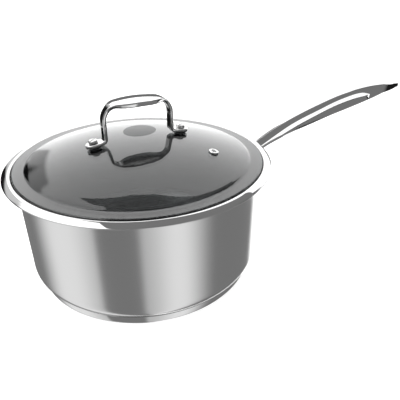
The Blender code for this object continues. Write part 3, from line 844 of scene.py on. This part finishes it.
def tempered_glass():
    """Glass with a dark grey tint that is painted shade, dimming the pan's inside seen through it, a faint
    film and a few water spots.
    """
    tree = Tree(bpy.data.materials.new("tempered glass"))
    whole, _ = tree.coordinates()
    film = tree.noise(whole, 26.0, 4.0, 0.6)
    spots = tree.smooth(tree.noise(whole, 420.0, 1.0), 0.70, 0.78)
    roughness = 0.006 + tree.smooth(film, 0.45, 0.75) * 0.012 + spots * 0.02
    # Painted shade: the dark grey tint stands in for the dim inside of the covered pan. The film noise only
    # varies it a little.
    colour = tree.blend(film, (0.20, 0.21, 0.214, 1.0), (0.23, 0.24, 0.242, 1.0))
    return tree.surface(
        Base_Color=colour, Roughness=roughness, Metallic=0.0, IOR=1.50, Transmission_Weight=1.0,
        Coat_Weight=0.6, Coat_Roughness=0.01,
    )


def moulded_silicone():
    """Matt black silicone with a dusty bloom."""
    tree = Tree(bpy.data.materials.new("moulded silicone"))
    whole, _ = tree.coordinates()
    bloom = tree.noise(whole, 700.0, 4.0, 0.65)
    skin = tree.noise(whole, 5200.0, 2.0)
    colour = tree.blend(bloom, (0.012, 0.012, 0.013, 1.0), (0.05, 0.05, 0.052, 1.0))
    roughness = 0.5 + bloom * 0.25
    normal = tree.bump(skin, 0.02 * MM, 0.6)
    return tree.surface(Base_Color=colour, Roughness=roughness, Metallic=0.0, Normal=normal)


def milled_aluminium():
    """Plain aluminium with a rolled grain."""
    tree = Tree(bpy.data.materials.new("milled aluminium"))
    _, (x, y, z) = tree.coordinates()
    grain = tree.noise(tree.vector(x * 60, y * 3200, z * 3200), 1.0, 3.0)
    colour = tree.blend(grain, grey(0.72), grey(0.82))
    roughness = 0.36 + grain * 0.16
    normal = tree.bump(grain, 0.01 * MM, 0.6)
    return tree.surface(Base_Color=colour, Roughness=roughness, Metallic=1.0, Normal=normal)


# Studio -------------------------------------------------------------------------------------------


def studio_surround():
    """Soft light all round: white above and behind, grey on the near side, and soft boxes low down."""
    world = bpy.data.worlds.new("studio surround")
    bpy.context.scene.world = world
    tree = Tree(world)
    way = tree.make("ShaderNodeTexCoord", output="Generated")
    parts = tree.make("ShaderNodeSeparateXYZ", inputs=[way]).socket.node
    x, y, z = (Signal(tree, socket) for socket in parts.outputs)
    to_degrees = math.degrees(1)
    azimuth = y.math("ARCTAN2", x) * to_degrees
    elevation = z.math("ARCSINE") * to_degrees

    def across(centre, half, soft):
        """1 within half a width of an azimuth, 0 outside it."""
        aside = (azimuth - centre).math("WRAP", 180.0, -180.0).math("ABSOLUTE")
        return 1 - tree.smooth(aside, half - soft, half + soft)

    def between(low, high, soft):
        """1 between two elevations, 0 outside them."""
        above_low = tree.smooth(elevation, low - soft, low + soft)
        return above_low * (1 - tree.smooth(elevation, high - soft, high + soft))

    def over(light, mask, level):
        """Lay a panel of one brightness over what is there."""
        return light + (level - light) * mask

    # Upper half: white over the far side and the left, so that the near side stays grey
    light = over(MID_GREY, across(52, 62, 2) * between(-19, OVERHEAD, 2), WHITE)
    light = over(light, across(150, 62, 2) * between(31, OVERHEAD, 3), WHITE)
    # Lower half: two upright soft boxes, and a bright low corner on the handle's side
    turn = (azimuth - 120.0).math("WRAP", 360.0, 0.0)
    low = between(UNDERFOOT, -4, 2)
    box = tree.smooth(turn, 3, 38) * (1 - tree.smooth(turn, 52, 90) * 0.50)
    light = over(light, low * box * (1 - tree.smooth(turn, 79, 84)), SOFT_BOX)
    box = tree.smooth(turn, 120, 127) * 0.52 + tree.smooth(turn, 126, 158) * 0.48
    light = over(light, low * box * (1 - tree.smooth(turn, 162, 201)), SOFT_BOX)
    light = over(light, across(44, 21, 5) * between(UNDERFOOT, -24, 3), WHITE)
    # A dim patch high on the right, then a pale panel with a slanted edge on the left
    light = over(light, across(-10, 27, 3) * between(29, 56, 2), DIM)
    slanted = tree.smooth((azimuth - 91.0) * 1.9 + 11.0 - elevation, -2.0, 2.0)
    light = over(light, across(106, 16, 1) * between(-20, 34, 2) * slanted, PALE_GREY)
    # Black cards low on the left and right, and a grey one between the right card and the near side
    light = over(light, across(111, 13, 2) * between(-20, 19, 3), BLACK)
    light = over(light, across(350, 24, 3) * between(-23, 20, 2), BLACK)
    light = over(light, across(308, 22, 3) * between(-25, 10, 2), SIDE_GREY)
    background = tree.make("ShaderNodeBackground", inputs={"Color": light, "Strength": 1.0})
    tree.make("ShaderNodeOutputWorld", inputs=[background])


def pale_floor():
    """A wide pale floor with a faint soft shadow. The steel mirrors the surround, not the floor."""
    tree = Tree(bpy.data.materials.new("pale floor"))
    whole, _ = tree.coordinates()
    mottle = tree.noise(whole, 3.0, 2.0)
    colour = tree.blend(mottle, grey(0.86), grey(0.88))
    material = tree.surface(
        Base_Color=colour, Roughness=0.9, Emission_Color=grey(0.80), Emission_Strength=1.0
    )
    bm = bmesh.new()
    bmesh.ops.create_circle(bm, cap_ends=True, radius=FLOOR_R, segments=96)
    mesh = bpy.data.meshes.new("studio_floor")
    bm.to_mesh(mesh)
    bm.free()
    mesh.materials.append(material)
    floor = bpy.data.objects.new("studio_floor", mesh)
    floor.location.z = -0.4 * MM
    floor.visible_glossy = False
    floor.visible_transmission = False
    bpy.context.scene.collection.objects.link(floor)


def glow(name, level):
    """A material that gives off plain white light."""
    tree = Tree(bpy.data.materials.new(name))
    return tree, tree.make("ShaderNodeEmission", inputs={"Color": grey(1.0), "Strength": level})


def backdrop():
    """A pale shell far behind everything. Only the camera sees it, so it lights nothing."""
    tree, light = glow("pale backdrop", 1.0)
    tree.make("ShaderNodeOutputMaterial", inputs=[light])
    bm = bmesh.new()
    bmesh.ops.create_uvsphere(bm, u_segments=48, v_segments=24, radius=BACKDROP_R)
    mesh = bpy.data.meshes.new("studio_backdrop")
    bm.to_mesh(mesh)
    bm.free()
    mesh.materials.append(tree.owner)
    shell = bpy.data.objects.new("studio_backdrop", mesh)
    shell.visible_diffuse = False
    shell.visible_glossy = False
    shell.visible_transmission = False
    shell.visible_shadow = False
    bpy.context.scene.collection.objects.link(shell)


def card(name, corners, level, one_sided=False):
    """A flat panel that only reflections see, and only its upper side if it is one-sided."""
    tree, light = glow(name, level)
    if one_sided:
        behind = tree.make("ShaderNodeNewGeometry", output="Backfacing")
        clear = tree.make("ShaderNodeBsdfTransparent")
        light = tree.make("ShaderNodeMixShader", inputs=[behind, light, clear])
    tree.make("ShaderNodeOutputMaterial", inputs=[light])
    mesh = bpy.data.meshes.new(name)
    mesh.from_pydata(corners, [], [list(range(len(corners)))])
    mesh.materials.append(tree.owner)
    item = bpy.data.objects.new(name, mesh)
    item.visible_camera = False
    item.visible_diffuse = False
    item.visible_shadow = False
    item.visible_transmission = False
    bpy.context.scene.collection.objects.link(item)


def bearing(centre, reach, degrees):
    """The point at a distance and a bearing from a centre, in X and Y."""
    turn = math.radians(degrees)
    return centre[0] + reach * math.cos(turn), centre[1] + reach * math.sin(turn)


def level_card(name, outline, height, level):
    """A card that lies flat at a height."""
    card(name, [(x, y, height) for x, y in outline], level)


def lid_cards():
    """A curved grey flag over the rim's near side, a grey disc behind the lid, and a sheet by the grip."""
    flag = []
    for degrees in range(205, 316, 5):
        spread = min(1.0, max(0.0, (degrees - 255) / 55))
        flare = max(0.0, (240 - degrees) / 35)
        reach = FLAG_INNER_R + FLAG_SPREAD * spread + FLAG_FLARE * flare
        flag.append(bearing(FLAG_CENTRE, reach, degrees))
    flag += [bearing((0, 0), FLAG_OUTER_R, degrees) for degrees in range(315, 239, -5)]
    flag.append(bearing(FLAG_CENTRE, FLAG_CORNER_R, 225))
    level_card("grey_flag", flag, FLAG_Z, MID_GREY)
    disc = [bearing((0, 0), 1.0, 15 * k) for k in range(24)]
    x, y, z = DISC_CENTRE
    card("grey_disc", [(x + DISC_HALF_WIDTH * u, y, z + DISC_HALF_HEIGHT * v) for u, v in disc], DISC_GREY)
    left, right = -0.03, 0.085
    near, far = (0.0135, 0.1445), (0.10, 0.1905)
    strip = [(left, *near), (right, *near), (right, *far), (left, *far)]
    card("grip_sheet", strip, GRIP_GREY, one_sided=True)


def handle_cards():
    """A white sheet on the floor under the handle, with a black strip along its near edge."""
    near, end = -0.16, 0.70
    sheet = [(0.28, near), (end, near), (end, 0.30), (0.20, 0.30), (0.20, -0.02)]
    level_card("white_sheet", sheet, SHEET_Z, SHEET_WHITE)
    strip = [(0.31, near - 0.025), (end, near - 0.025), (end, near), (0.31, near)]
    level_card("dark_edge", strip, SHEET_Z, BLACK)


def camera():
    """Looks down over the pan's left front, with the handle to the right and away."""
    data = bpy.data.cameras.new("camera")
    data.sensor_width = 36.0
    data.lens = 37.43
    data.clip_start = 0.01
    item = bpy.data.objects.new("camera", data)
    item.location = (-0.1150, -0.3122, 0.2401)
    item.rotation_euler = (math.radians(60.84), 0.0, math.radians(-29.0))
    bpy.context.scene.collection.objects.link(item)
    bpy.context.scene.camera = item


# All of it ----------------------------------------------------------------------------------------


def dress():
    """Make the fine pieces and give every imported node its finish."""
    wall = drawn_steel()
    loop = bright_steel("buffed loop steel", 260.0, 1700.0, 260.0)
    handle = cast_steel()
    base = bright_steel("pressed base steel", 120.0, 120.0, 3600.0, 0.78, 0.06)
    fitting = turned_steel("turned fitting steel")
    rubber = moulded_silicone()
    glass = tempered_glass()

    pan_shell(wall)
    capsule(base)
    cast_handle(handle)
    domed_glass(glass)
    vent = on_glass(VENT_R, VENT_AZIMUTH)
    under_glass = -GLASS_T - GAP
    round_fitting("steam_eyelet", eyelet_outline(), vent, fitting, "vent_eyelet", True)
    ring = washer_outline(VENT_HEAD_R + 0.6 * MM, VENT_TUBE_R + GAP, under_glass, WASHER_T)
    round_fitting("steam_washer", ring, vent, fitting, "vent_washer", True)
    sides = {"right": on_glass(SCREW_R, 0), "left": on_glass(SCREW_R, math.pi)}
    bent_loop(sides.values(), loop)
    under_seal = under_glass - SEAL_T - GAP
    for side, place in sides.items():
        slotted_screw("slotted_screw_" + side, place, fitting, "lid_screw_" + side)
        pad = washer_outline(PAD_R, SCREW_HOLE_R, GAP + PAD_T, PAD_T)
        round_fitting("soft_pad_" + side, pad, place, rubber, "foot_pad_" + side, True)
        seal = washer_outline(SEAL_R, SCREW_HOLE_R, under_glass, SEAL_T)
        round_fitting("soft_seal_" + side, seal, place, rubber, "inner_seal_" + side, True)
        flat = washer_outline(WASHER_R, SCREW_HOLE_R, under_seal, WASHER_T)
        washer_node = "inner_washer_" + side
        round_fitting("flat_washer_" + side, flat, place, fitting, washer_node, True)
        round_fitting("domed_nut_" + side, nut_outline(), place, fitting, "cap_nut_" + side)

    for name, finish in (("base_core", milled_aluminium()), ("handle_saddle", base)):
        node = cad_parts[name]
        node.data.materials.clear()
        node.data.materials.append(finish)


bpy.context.scene.view_settings.view_transform = "Standard"
dress()
studio_surround()
pale_floor()
backdrop()
lid_cards()
handle_cards()
camera()
